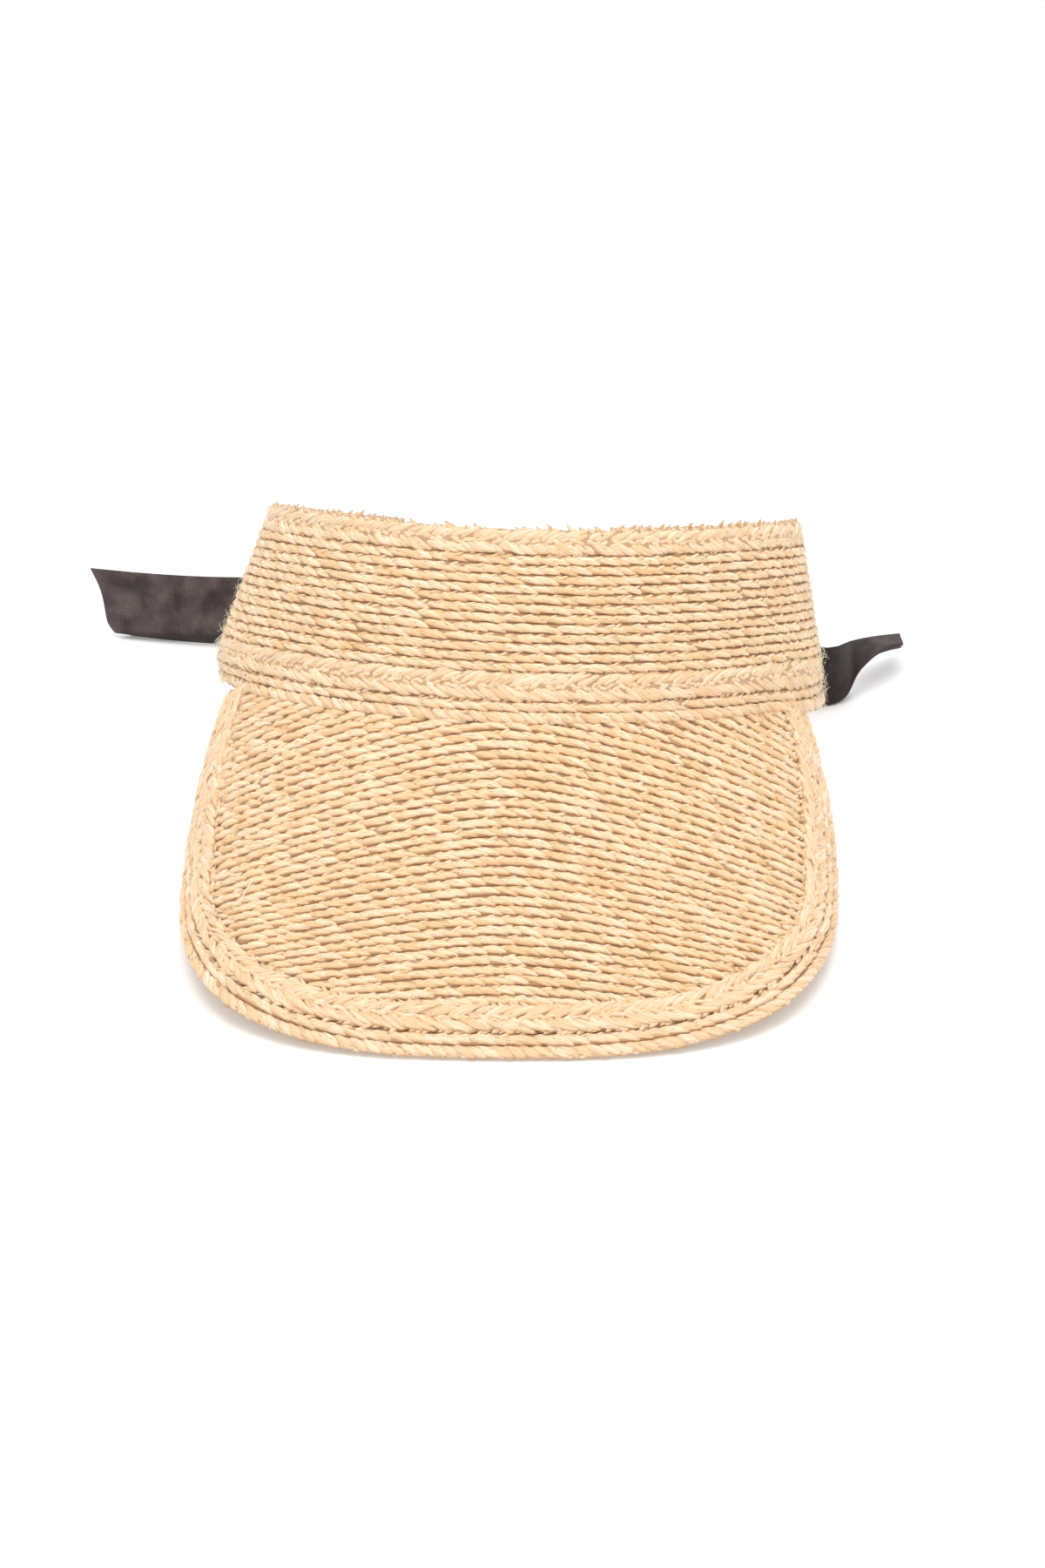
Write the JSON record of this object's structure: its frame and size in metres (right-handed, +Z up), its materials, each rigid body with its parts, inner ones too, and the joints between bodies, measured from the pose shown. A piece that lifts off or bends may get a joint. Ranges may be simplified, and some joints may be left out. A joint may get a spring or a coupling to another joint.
{
  "type": "sun visor",
  "caption": "Raffia sun visor: a tapered head band of sewn braid, open at the back, a wide drooping crescent brim with a braided border, and a ribbon tie.",
  "frame": {"origin": "under the middle of the visor's box, on the surface that it lies on", "axes": "+Z up as the visor lies at rest, the brim points to -Y, +X is the viewer's right"},
  "size_m": [0.27, 0.2728, 0.1102],
  "materials": {
    "raffia_braid": "natural raffia, plaited into sewn rows, soft satin straw",
    "raffia_trim": "natural raffia, plaited and roped trim, soft satin straw",
    "ribbon": "matte woven ribbon, dark warm grey"
  },
  "bodies": {
    "visor": {"band_top_braid": "raffia_trim", "band_course_01": "raffia_braid", "band_course_02": "raffia_braid", "band_course_03": "raffia_braid", "band_course_04": "raffia_braid", "band_course_05": "raffia_braid", "band_course_06": "raffia_braid", "band_course_07": "raffia_braid", "band_course_08": "raffia_braid", "band_course_09": "raffia_braid", "band_course_10": "raffia_braid", "band_course_11": "raffia_braid", "band_course_12": "raffia_braid", "band_trim_braid": "raffia_trim", "band_lower_rope": "raffia_trim", "band_edge_rope": "raffia_trim", "sweatband": "ribbon", "brim_row_01": "raffia_braid", "brim_row_02": "raffia_braid", "brim_row_03": "raffia_braid", "brim_row_04": "raffia_braid", "brim_row_05": "raffia_braid", "brim_row_06": "raffia_braid", "brim_row_07": "raffia_braid", "brim_row_08": "raffia_braid", "brim_row_09": "raffia_braid", "brim_row_10": "raffia_braid", "brim_row_11": "raffia_braid", "brim_row_12": "raffia_braid", "brim_row_13": "raffia_braid", "brim_row_14": "raffia_braid", "brim_row_15": "raffia_braid", "brim_row_16": "raffia_braid", "brim_row_17": "raffia_braid", "brim_row_18": "raffia_braid", "brim_row_19": "raffia_braid", "brim_row_20": "raffia_braid", "brim_row_21": "raffia_braid", "brim_row_22": "raffia_braid", "brim_row_23": "raffia_braid", "brim_row_24": "raffia_braid", "brim_row_25": "raffia_braid", "brim_row_26": "raffia_braid", "brim_row_27": "raffia_braid", "brim_row_28": "raffia_braid", "brim_side_rows_left": "raffia_braid", "brim_side_rows_right": "raffia_braid", "brim_border_braid": "raffia_trim", "brim_border_rope": "raffia_trim", "brim_edge_rope": "raffia_trim", "left_tie": "ribbon", "right_tie": "ribbon", "tie_knot": "ribbon"},
    "left_tail": {"left_tail": "ribbon"},
    "right_tail": {"right_tail": "ribbon"}
  },
  "joints": [
    {"name": "left_tail_swing", "type": "hinge", "parent": "visor", "child": "left_tail", "pos_m": [-0.00792, 0.12527, 0.0126], "axis": [0, 0, 1], "range_deg": [-90, 20]},
    {"name": "right_tail_swing", "type": "hinge", "parent": "visor", "child": "right_tail", "pos_m": [0.01008, 0.12527, 0.0126], "axis": [0, 0, 1], "range_deg": [-8, 90]}
  ]
}
